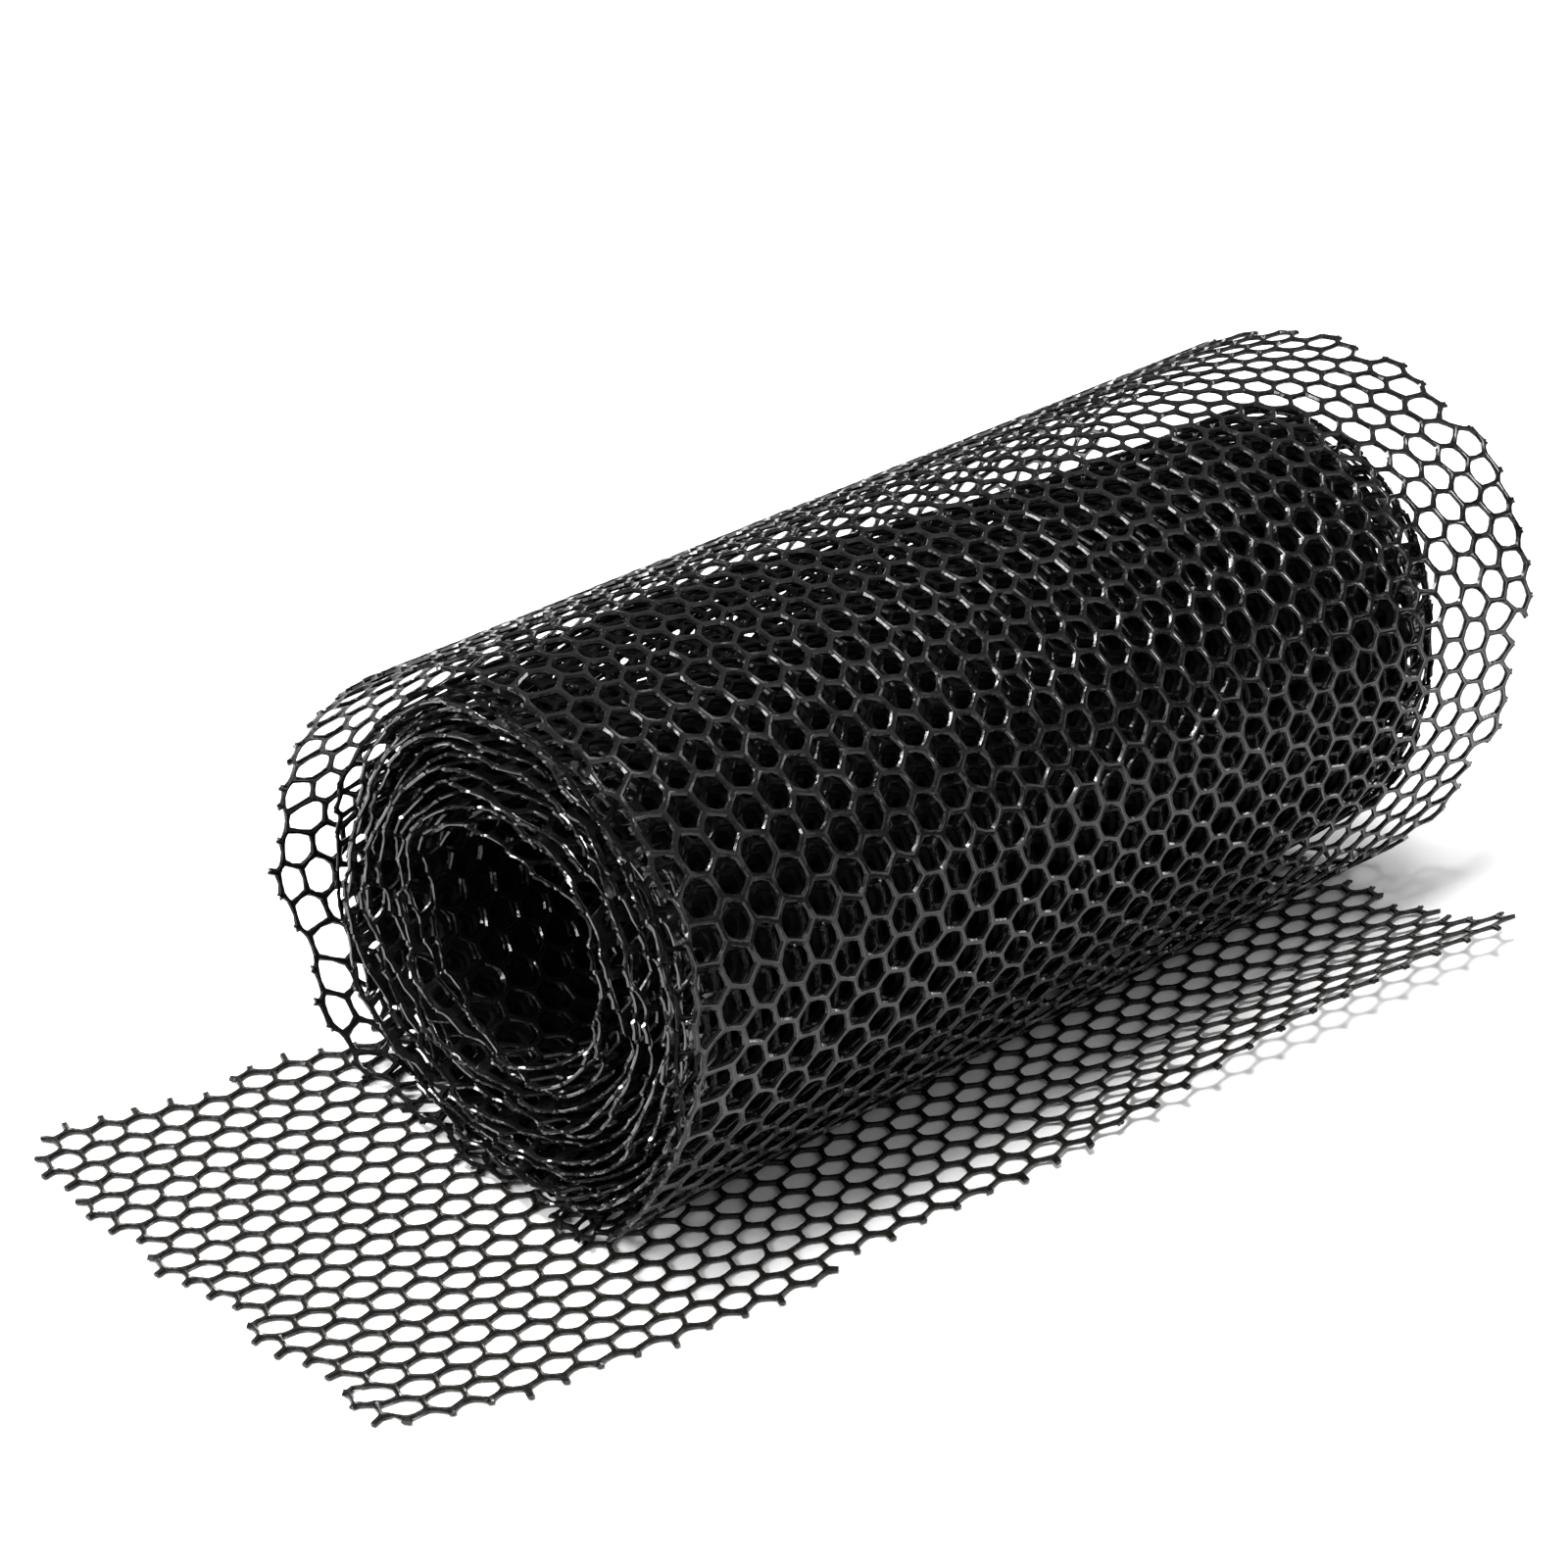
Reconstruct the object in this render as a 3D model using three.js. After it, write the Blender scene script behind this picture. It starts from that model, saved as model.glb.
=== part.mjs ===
// Roll of plastic fence netting: a tight hollow roll, its loose outer turn,
// and a flat length of the same netting under it. Millimetres, +Z up.
// The roll's axis runs along X. The origin is the bottom centre of the whole.
import * as THREE from "three";

// ---- driving dimensions, mm and degrees ----
const ORIGIN = { x: 149.536, y: 8.051 }; // bottom centre, measured from the foot of the near face
const SHEET = 2;                            // thickness of one layer of netting
const GAP = 0.3;                            // clear space between layers that touch
const ROLL = {
  length: 349, radiusNear: 80.5, radiusFar: 77.5,
  axisZ: 84, axisShiftFar: 3,
  oval: 5.2, ovalAt: 122.6,                 // long way of the oval section
  lobe: 2.0, lobeAt: 27.6,                  // a third, slighter lobe
  ripple: 0.7,                              // five small waves round the outside
  turnStep: 3.4, stepAt: -70,               // the last turn's end, a step under the roll
  stretches: 7,                             // along the outside
};
const EYE = {
  radius: 40, y: 8, z: 86.7, oval: 2.6, ovalAt: 30, lobe: 0.8,
  step: 3.2, stepAt: 215,                   // the first turn's start
  shiftFarY: -5, shiftFarZ: -3,             // its middle at the far face, from the near one
  stretches: 6,                             // along the eye
};
const RIDGES = { count: 8, depth: 2.6, wander: 2.2 };   // rims of the turns on each end face
const FLAT_SPOT_Z = 2 * SHEET + 2 * GAP;    // underside of the roll, on two layers
const SEGMENTS = 64;

const LAID = {
  left: -92, right: 356, backLeftY: 130, backSlope: -0.163,
  frontLeftY: -62, frontDrop: 53, frontPower: 0.55,
  liftFrom: 110, liftTo: 260, lift: 13, cornerDrop: 3, cornerFrom: 300, curl: 52,
  rightSlant: 4, rightHollow: 10.8, rightRound: 6,      // how the right edge is cut
  stretches: 26, rows: 12,
};

// Middle line of the loose turn: where it lies round the roll at its near and
// far edge, and how far along the roll each edge runs there.
const LOOSE = [
  // name            yNear  zNear  yFar   zFar  xNear xFar
  ["under_start",     -12,   3.3,  -14,   3.3,   3,   352],
  ["under_front",     -26,   3.3,  -36,   3.6,   3,   356],
  ["front_foot",      -38,   7.5,  -51,   9.5,   3,   361],
  ["front_low",       -50,  19,    -63,  24,     1,   367],
  ["front_knee",      -63,  37,    -72,  43,    -1,   373],
  ["front_waist",     -74,  57,    -78,  63,    -2,   378],
  ["front_middle",    -81,  80,    -80.5, 85,   -2,   381],
  ["front_chest",     -84, 101,    -80, 107,    -2,   384],
  ["front_shoulder",  -80, 122,    -73.5, 128,  -1,   386],
  ["front_neck",      -67, 143,    -60, 148,     0,   388],
  ["top_front",       -48, 158.5,  -42, 163.5,   1,   389],
  ["top",             -24, 169.5,  -16, 173,     3,   390],
  ["top_back",          2, 173,     10, 175,     5,   391],
  ["crown_back",       26, 171,     34, 171.5,   7,   391],
  ["shoulder_high",    46, 165,     56, 164,     8,   391],
  ["shoulder",         66, 155.5,   76, 153,    10,   391],
  ["shoulder_low",     86, 142,     95, 137,    11,   390],
  ["back_high",       104, 125.5,  110, 119,    12,   389],
  ["back_chest",      118, 107,    120,  99,    12,   388],
  ["back_middle",     126.5, 88,   124.5, 79,   12,   387],
  ["back_waist",      129.5, 68,   123.5, 59,   12,   386],
  ["back_low",        126,  46,    118.5, 40,   13,   384],
  ["back_knee",       117.5, 27,   111,  24,    14,   382],
  ["back_foot",       107,  11.5,  102.5, 10.5, 14,   380],
  ["back_lying",       96,   4.2,   93,   4.1,  13,   378],
  ["lying_outer",      80,   3.3,   78,   3.3,  12,   376],
  ["lying_middle",     54,   3.3,   54,   3.3,   8,   374],
  ["lying_inner",      28,   3.3,   28,   3.3,   4,   371],
  ["tucked_end",        4,   3.3,    6,   3.3,   0,   368],
].map(([name, yNear, zNear, yFar, zFar, xNear, xFar]) => ({ name, yNear, zNear, yFar, zFar, xNear, xFar }));
const LOOSE_STEPS = 46;
const LOOSE_ROWS = 8;
const SLOPE_STEP = 0.004;                   // how far to each side a slope is measured

// ---- small helpers ----
const rad = (deg) => (deg * Math.PI) / 180;
const lerp = (a, b, t) => a + (b - a) * t;
const clamp01 = (v) => Math.min(1, Math.max(0, v));
const smooth = (v) => { const c = clamp01(v); return c * c * (3 - 2 * c); };
const turnPart = (deg, from) => ((((deg - from) % 360) + 360) % 360) / 360;

// one closed body from a list of quads over numbered points
function solid(points, quads) {
  const geometry = new THREE.BufferGeometry();
  geometry.setAttribute("position", new THREE.Float32BufferAttribute(points.flat(), 3));
  geometry.setIndex(quads.flatMap(([a, b, c, d]) => [a, b, c, a, c, d]));
  geometry.computeVertexNormals();
  return geometry;
}

// a sheet between an upper and a lower surface, each given over (u, v) in 0..1
function slab(nu, nv, upper, lower) {
  const points = [];
  const quads = [];
  const at = (side, i, j) => side * (nu + 1) * (nv + 1) + j * (nu + 1) + i;
  for (const surface of [upper, lower])
    for (let j = 0; j <= nv; j++)
      for (let i = 0; i <= nu; i++) points.push(surface(i / nu, j / nv));
  for (let j = 0; j < nv; j++)
    for (let i = 0; i < nu; i++) {
      quads.push([at(0, i, j), at(0, i + 1, j), at(0, i + 1, j + 1), at(0, i, j + 1)]);
      quads.push([at(1, i, j), at(1, i, j + 1), at(1, i + 1, j + 1), at(1, i + 1, j)]);
    }
  for (let i = 0; i < nu; i++) {
    quads.push([at(1, i, 0), at(1, i + 1, 0), at(0, i + 1, 0), at(0, i, 0)]);
    quads.push([at(0, i, nv), at(0, i + 1, nv), at(1, i + 1, nv), at(1, i, nv)]);
  }
  for (let j = 0; j < nv; j++) {
    quads.push([at(0, 0, j), at(0, 0, j + 1), at(1, 0, j + 1), at(1, 0, j)]);
    quads.push([at(1, nu, j), at(1, nu, j + 1), at(0, nu, j + 1), at(0, nu, j)]);
  }
  return solid(points, quads);
}

// ---- the wound roll ----
function outside(deg, t) {
  const radius = lerp(ROLL.radiusNear, ROLL.radiusFar, t)
    + ROLL.oval * Math.cos(2 * rad(deg - ROLL.ovalAt))
    + ROLL.lobe * Math.cos(rad(3 * deg + ROLL.lobeAt))
    + ROLL.ripple * Math.sin(5 * rad(deg) + 4 * t)
    - ROLL.turnStep * (1 - turnPart(deg, ROLL.stepAt)) * 0.5;
  const y = ROLL.axisShiftFar * t + radius * Math.cos(rad(deg));
  const z = ROLL.axisZ + radius * Math.sin(rad(deg));
  return { y, z: Math.max(z, FLAT_SPOT_Z) };
}
function inside(deg, t) {
  const radius = EYE.radius + EYE.oval * Math.cos(2 * rad(deg - EYE.ovalAt))
    + EYE.lobe * Math.sin(3 * rad(deg) + 3 * t)
    + EYE.step * (turnPart(deg, EYE.stepAt) - 0.5);
  const y = EYE.y + EYE.shiftFarY * t + radius * Math.cos(rad(deg));
  const z = EYE.z + EYE.shiftFarZ * t + radius * Math.sin(rad(deg));
  return { y, z };
}
function woundRoll() {
  // the section of the ring of turns, walked once round: near face outwards,
  // along the outside, far face inwards, back along the eye
  const profile = [];
  const rimCount = RIDGES.count * 2;
  const rimWander = (k, deg, end) => (k % 2 ? RIDGES.depth : 0)
    + RIDGES.wander * 0.5 * (1 + Math.sin(2.1 * k + end + 2 * rad(deg)) * Math.sin(1.3 * k + 3 * rad(deg)));
  for (let k = 0; k <= rimCount; k++) profile.push({ part: k / rimCount, end: 0, k });
  for (let i = 1; i < ROLL.stretches; i++) profile.push({ part: 1, t: i / ROLL.stretches });
  for (let k = rimCount; k >= 0; k--) profile.push({ part: k / rimCount, end: 1, k });
  for (let i = EYE.stretches - 1; i > 0; i--) profile.push({ part: 0, t: i / EYE.stretches });

  const points = [];
  for (const { part, end, k, t } of profile)
    for (let s = 0; s < SEGMENTS; s++) {
      const deg = (s * 360) / SEGMENTS;
      const x = end === undefined ? t * ROLL.length
        : end === 0 ? rimWander(k, deg, 0)
          : ROLL.length - rimWander(k, deg, 2);
      const along = x / ROLL.length;
      const a = inside(deg, along);
      const b = outside(deg, along);
      points.push([x, lerp(a.y, b.y, part), lerp(a.z, b.z, part)]);
    }
  const quads = [];
  const n = profile.length;
  for (let p = 0; p < n; p++)
    for (let s = 0; s < SEGMENTS; s++) {
      const p2 = (p + 1) % n;
      const s2 = (s + 1) % SEGMENTS;
      quads.push([p * SEGMENTS + s, p * SEGMENTS + s2, p2 * SEGMENTS + s2, p2 * SEGMENTS + s]);
    }
  return solid(points, quads);
}

// ---- the loose outer turn ----
function looseLine(s, key) {
  const last = LOOSE.length - 1;
  const at = s * last;
  const i = Math.min(last - 1, Math.floor(at));
  const f = at - i;
  const [a, b, c, d] = [i - 1, i, i + 1, i + 2].map((k) => LOOSE[Math.min(last, Math.max(0, k))][key]);
  const squared = 2 * a - 5 * b + 4 * c - d;
  const cubed = 3 * b - a - 3 * c + d;
  return 0.5 * (2 * b + (c - a) * f + squared * f * f + cubed * f * f * f);
}
const looseMiddle = (s, t) => ({
  x: lerp(looseLine(s, "xNear"), looseLine(s, "xFar"), t),
  y: lerp(looseLine(s, "yNear"), looseLine(s, "yFar"), t),
  z: Math.max(SHEET + GAP + SHEET / 2, lerp(looseLine(s, "zNear"), looseLine(s, "zFar"), t)),
});
function looseSurface(side) {
  return (u, v) => {
    const m = looseMiddle(v, u);
    const a = looseMiddle(Math.max(0, v - SLOPE_STEP), u);
    const b = looseMiddle(Math.min(1, v + SLOPE_STEP), u);
    const length = Math.hypot(b.y - a.y, b.z - a.z);
    const ny = (a.z - b.z) / length;
    const nz = (b.y - a.y) / length;
    return [m.x, m.y + side * 0.5 * SHEET * ny, m.z + side * 0.5 * SHEET * nz];
  };
}

// ---- the laid out end ----
function laidFrontY(x) {
  const t = clamp01((x - LAID.left) / (LAID.right - LAID.left));
  return LAID.frontLeftY - LAID.frontDrop * t ** LAID.frontPower;
}
const laidBackY = (x) => LAID.backLeftY + LAID.backSlope * (x - LAID.left);
function laidPoint(u, v) {
  const right = LAID.right - LAID.rightSlant * v - LAID.rightHollow * Math.sin(Math.PI * v)
    - LAID.rightRound * v * v;
  const x = lerp(LAID.left, right, u);
  const front = laidFrontY(x);
  const y = lerp(laidBackY(x), front, v);
  const rise = LAID.lift * smooth((x - LAID.liftFrom) / (LAID.liftTo - LAID.liftFrom))
    - LAID.cornerDrop * Math.max(0, (x - LAID.cornerFrom) / (LAID.right - LAID.cornerFrom));
  const near = clamp01((front + LAID.curl - y) / LAID.curl);
  return [x, y, rise * near * near];
}
// rows stand closer together where the front edge curls up
const rowPlace = (v) => (v < 0.5 ? v * 1.44 : 0.72 + (v - 0.5) * 0.56);
const laidSurface = (height) => (u, v) => {
  const [x, y, z] = laidPoint(u, rowPlace(1 - v));
  return [x, y, z + height];
};

// ---- assembly ----
const netting = (color, roughness) => new THREE.MeshStandardMaterial({ color, roughness, metalness: 0 });
const roll = new THREE.Group();
function piece(name, geometry, material) {
  const mesh = new THREE.Mesh(geometry, material);
  mesh.name = name;
  mesh.position.set(-ORIGIN.x, -ORIGIN.y, 0);
  roll.add(mesh);
}
const looseTurn = slab(LOOSE_ROWS, LOOSE_STEPS, looseSurface(1), looseSurface(-1));
const laidOut = slab(LAID.stretches, LAID.rows, laidSurface(SHEET), laidSurface(0));
piece("wound_roll", woundRoll(), netting(0x1b1b1c, 0.42));
piece("loose_outer_turn", looseTurn, netting(0x202021, 0.4));
piece("laid_out_end", laidOut, netting(0x1d1c1b, 0.45));

export default roll;
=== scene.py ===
"""Roll of black plastic fence netting on a laid-out length of the same netting.

Every strand is modelled: each sheet is a field of six-sided holes, worked out on
a flat lattice and then wrapped onto the surface that its CAD node has. Lengths
are in millimetres in the part's own frame (+X along the roll, +Z up) until a
mesh is made, and angles are in degrees. The floor, lamps and camera are in metres.
"""

import math

import bpy
import numpy as np
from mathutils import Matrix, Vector


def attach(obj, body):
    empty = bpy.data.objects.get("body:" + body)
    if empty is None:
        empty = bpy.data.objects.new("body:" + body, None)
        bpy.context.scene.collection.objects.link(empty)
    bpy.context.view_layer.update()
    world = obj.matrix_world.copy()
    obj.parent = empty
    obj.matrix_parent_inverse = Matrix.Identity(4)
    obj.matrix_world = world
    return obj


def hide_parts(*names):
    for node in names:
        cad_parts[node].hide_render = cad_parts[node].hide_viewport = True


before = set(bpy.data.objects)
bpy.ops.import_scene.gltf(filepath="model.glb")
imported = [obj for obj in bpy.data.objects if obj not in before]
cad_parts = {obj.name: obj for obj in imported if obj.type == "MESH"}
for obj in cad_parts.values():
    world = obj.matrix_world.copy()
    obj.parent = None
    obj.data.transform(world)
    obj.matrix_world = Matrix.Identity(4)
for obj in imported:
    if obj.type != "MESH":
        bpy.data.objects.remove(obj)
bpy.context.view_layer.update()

# ---- driving dimensions, the same as the CAD part's ----
MM = 0.001
ORIGIN = np.array([149.536, 8.051, 0.0])     # bottom centre, from the foot of the near face
SHEET = 2.0                                  # thickness of one layer
GAP = 0.3                                    # clear space between layers that touch
LYING_Z = SHEET + GAP + SHEET / 2            # middle of a layer lying on another

ROLL_LENGTH = 349.0
ROLL_RADIUS = (80.5, 77.5)                   # near face, far face
ROLL_AXIS_Z = 84.0
ROLL_SHIFT_FAR = 3.0
ROLL_OVAL = (5.2, 122.6)                     # depth, and where the long way points
ROLL_LOBE = (2.0, 27.6)                      # depth, and the start of its three waves
OUTER_END = -70.0                            # angle at which the web ends, under the roll
FLAT_SPOT_Z = 2 * SHEET + 2 * GAP            # underside of the roll, on two layers
EYE_RADIUS = 40.0
EYE_CENTRE = (8.0, 86.7)                     # at the near face, y and z
EYE_SHIFT_FAR = (-5.0, -3.0)                 # from there to the far face
EYE_OVAL = (2.6, 30.0)
EYE_LOBE = 0.8
INNER_END = 215.0                            # angle at which the web starts, in the eye

LAID_LEFT, LAID_RIGHT = -92.0, 356.0
LAID_BACK_Y, LAID_BACK_SLOPE = 130.0, -0.163         # its back edge, straight
LAID_FRONT_Y, LAID_FRONT_DROP, LAID_FRONT_POWER = -62.0, 53.0, 0.55      # its front edge, bowed
LAID_SLANT, LAID_HOLLOW, LAID_ROUND = 4.0, 10.8, 6.0     # how its right edge is cut
LAID_LIFT, LAID_CURL = 13.0, 52.0            # how high the front curls up, and how wide a strip
LAID_LIFT_FROM, LAID_LIFT_TO = 110.0, 260.0  # where along it the curl grows
LAID_CORNER_FROM, LAID_CORNER_DROP = 300.0, 3.0      # the corner sinks again a little

# Middle line of the loose turn round the roll: yNear, zNear, yFar, zFar, and how
# far along the roll its near and far edge run there.
LOOSE = np.array([
    (-12, 3.3, -14, 3.3, 3, 352),        # under the roll
    (-26, 3.3, -36, 3.6, 3, 356),
    (-38, 7.5, -51, 9.5, 3, 361),        # foot of the front
    (-50, 19, -63, 24, 1, 367),
    (-63, 37, -72, 43, -1, 373),
    (-74, 57, -78, 63, -2, 378),
    (-81, 80, -80.5, 85, -2, 381),       # front middle
    (-84, 101, -80, 107, -2, 384),
    (-80, 122, -73.5, 128, -1, 386),
    (-67, 143, -60, 148, 0, 388),
    (-48, 158.5, -42, 163.5, 1, 389),
    (-24, 169.5, -16, 173, 3, 390),      # top
    (2, 173, 10, 175, 5, 391),
    (26, 171, 34, 171.5, 7, 391),
    (46, 165, 56, 164, 8, 391),
    (66, 155.5, 76, 153, 10, 391),       # shoulder, away from the roll
    (86, 142, 95, 137, 11, 390),
    (104, 125.5, 110, 119, 12, 389),
    (118, 107, 120, 99, 12, 388),
    (126.5, 88, 124.5, 79, 12, 387),     # back middle
    (129.5, 68, 123.5, 59, 12, 386),
    (126, 46, 118.5, 40, 13, 384),
    (117.5, 27, 111, 24, 14, 382),
    (107, 11.5, 102.5, 10.5, 14, 380),
    (96, 4.2, 93, 4.1, 13, 378),         # lying on the laid-out length
    (80, 3.3, 78, 3.3, 12, 376),
    (54, 3.3, 54, 3.3, 8, 374),
    (28, 3.3, 28, 3.3, 4, 371),
    (4, 3.3, 6, 3.3, 0, 368),            # tucked end
], float)

# ---- netting ----
PITCH = 12.0                                 # from one hole to the next
ROW = math.sqrt(3) / 2                       # from one row to the next, in pitches
STRAND_WIDTH = 1.85
RIM_WIDTH = 1.5                              # of the strands at the roll's near face
RIM_HEIGHT = 0.7                             # of those strands, of the full height
RIM_DEPTH = 15.0                             # how far in they reach their full size
FLAT_WIDTH = 1.7                             # of the strands of the laid-out length
STRAND_HEIGHT = 1.35
JOINT_HEIGHT = 1.12                          # of a joint, of a strand's height
GROOVE = 0.75                                # height of a strand's middle, of its full height
SHOULDER = 0.62                              # how far out a strand is highest, of its half width
ROUNDING = 0.6                               # of a hole's corners, 1 makes it round
WOBBLE = 0.045                               # how far a joint is out of place, in pitches
HOLE_SPREAD, WIDTH_SPREAD = 0.06, 0.05       # of the width: from hole to hole, along a strand
HEIGHT_SPREAD, EDGE_SPREAD = 0.05, 0.08      # of the height: in the middle, at a hole's edge
STUB_SPREAD = 0.6                            # of a stub's length
STUB_RANGE = (0.1, 0.95)                     # shortest and longest stub, of its strand
STUB_FLARE = 1.35                            # a cut end is this much wider than its strand
SHARP_FROM = 28                              # angle from which an edge is shaded sharp

# ---- how the roll is wound ----
ROW_RISE = 9.7                               # how far the rows climb round the roll, degrees
TURNS = 12 + (OUTER_END + 360 - INNER_END) / 360     # whole ones, and the part between the ends
INMOST, OUTMOST = -0.1, 0.974                # the web's ends, from the eye's wall to the outside
PACKING = (0.8, 0.5)                         # the outer turns' spacing, near and far, of the mean
RIPPLES = [(0.008, 3.7, 2), (0.005, 6.3, 5)]    # depth, waves in a turn, shift at the far face
LOOSENED = 13.0                              # at most, of the outer turns
SLACK = 7.0                                  # at most, of the roll inside the outer turns
FACE_DEPTH = 26.0                            # of the pieces at the roll's two faces
WIDEST_INSIDE = 4.8                          # inside the roll, where strands are pressed flat

# ---- trimmed edges ----
# How far in from the CAD faces the roll's web is trimmed, and the waves in which its edges
# wander: the depth, the number in a turn and the start of each.
NEAR_TRIM, NEAR_WAVES = 5.0, [(3.2, 2.3, 0.4), (1.6, 5.1, 0.8)]
FAR_TRIM, FAR_WAVES = 2.5, [(1.4, 2.3, 2.0), (0.8, 5.1, 4.0)]
LAP, LAP_AT, LAP_WIDTH = 11.0, 162.0, 38.0   # how far the outermost turn stands out, and where
RIM_REACH = 0.8                              # joints this near an edge are drawn in, in pitches
RIM_SLACK = 0.2                              # how much of its zigzag the web's edge keeps
RIM_NUB = 0.9                                # how uneven the web's edge stays
CUT_MARGIN = 0.45                            # cells this near a cut are left out, in pitches

NEIGHBOURS = np.array([(1, 0), (0, 1), (-1, 1), (-1, 0), (0, -1), (1, -1)])
CORNERS = NEIGHBOURS + np.roll(NEIGHBOURS, -1, axis=0)


def lerp(a, b, t):
    return a + (b - a) * t


def ramp(v, start, end):
    """0 up to the start, 1 from the end on, and a soft slope between them."""
    c = np.clip((v - start) / (end - start), 0, 1)
    return c * c * (3 - 2 * c)


def unit(normals):
    """The normals, each made 1 long."""
    return normals / np.linalg.norm(normals, axis=1)[:, None]


def numbered(keys):
    """A number for each different key, in the keys' own shape, and the different keys."""
    rows, numbers = np.unique(keys.reshape(-1, keys.shape[-1]), axis=0, return_inverse=True)
    return rows, numbers.reshape(keys.shape[:-1])


def scatter(keys, salt):
    """An even spread of numbers from -1 to 1, always the same for the same whole-number key."""
    mixed = np.sin(keys[:, 0] * 12.9898 + keys[:, 1] * 78.233 + salt * 37.719) * 43758.5453
    return 2 * (mixed - np.floor(mixed)) - 1


def cells_between(rows, across):
    """Cell numbers of the lattice: all those in the rows, from across[0] to across[1] pitches along."""
    found = []
    for j in range(math.floor(rows[0]), math.ceil(rows[1]) + 1):
        first = math.floor(across[0] - j / 2)
        last = math.ceil(across[1] - j / 2)
        found.append(np.array([(i, j) for i in range(first, last + 1)]))
    return np.concatenate(found)


# What a cell of the lattice is to the piece that is being made.
OUTSIDE, WHOLE, EARLIER, LATER = 0, 1, 2, 3


def kinds_beside(members, kind, count):
    """Whether a cell of each kind lies beside each joint or strand: a row for each kind."""
    beside = np.zeros((4, count), bool)
    for value in (OUTSIDE, WHOLE, EARLIER, LATER):
        beside[value, members[kind == value].ravel()] = True
    return beside


def lattice_joints(cells, kind, rim):
    """The cells' joints: places, keys, the six of each cell, and the kinds of cell beside them."""
    keys, corners = numbered(3 * cells[:, None, :] + CORNERS[None])
    ij = keys / 3
    joints = np.stack([ij[:, 0] + ij[:, 1] / 2, ij[:, 1] * ROW], axis=1)
    joints[:, 0] += WOBBLE * scatter(keys, 1)
    joints[:, 1] += WOBBLE * scatter(keys, 2)
    beside = kinds_beside(corners, kind, len(joints))
    if rim:
        outermost = beside[OUTSIDE] & beside[1:].any(axis=0)
        a, row = rim(joints[outermost, 0], joints[outermost, 1] / ROW, keys[outermost])
        joints[outermost] = np.stack([a, row * ROW], axis=1)
    return joints, keys, corners, beside


def between_joints(low, high, keys, along):
    """Points along the middle lines of the strands from low to high, which are slightly bowed."""
    low, high = low[:, None], high[:, None]
    sideways = np.concatenate([low[..., 1:] - high[..., 1:], high[..., :1] - low[..., :1]], axis=-1)
    bow = WOBBLE * scatter(keys, 3)[:, None] * np.sin(np.pi * along)
    return (lerp(low, high, along[..., None]) + bow[..., None] * sideways).reshape(-1, 2)


def holes_in(outer, centre, inset, sides):
    """The rings round the cells drawn in by half a strand, and their corners rounded."""
    share = np.arange(sides) / sides - 0.5
    slant = np.cos(np.arctan(2 * share / math.sqrt(3)))
    size = (1 + (1 - ROUNDING) * (1 / slant - 1)) * slant
    return lerp(centre, outer, ((1 - inset) * np.tile(size, 6))[..., None])


def skin(upper, lower, kept):
    """Faces between the rings of points on the strands, which are closed where they are cut."""
    ahead = np.roll(np.arange(kept.shape[1]), -1)
    quads = []
    for out, inn in zip(upper[:-1], upper[1:]):
        quads.append(np.stack([out, out[:, ahead], inn[:, ahead], inn], axis=-1)[kept])
    for out, inn in zip(lower[:-1], lower[1:]):
        quads.append(np.stack([out[:, ahead], out, inn, inn[:, ahead]], axis=-1)[kept])
    profile = np.stack(upper + lower[-2::-1], axis=-1)
    behind = np.roll(kept, 1, axis=1)
    caps = np.concatenate([profile[behind & ~kept][:, ::-1], profile[~behind & kept]])
    return [np.concatenate(quads), caps]


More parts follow.
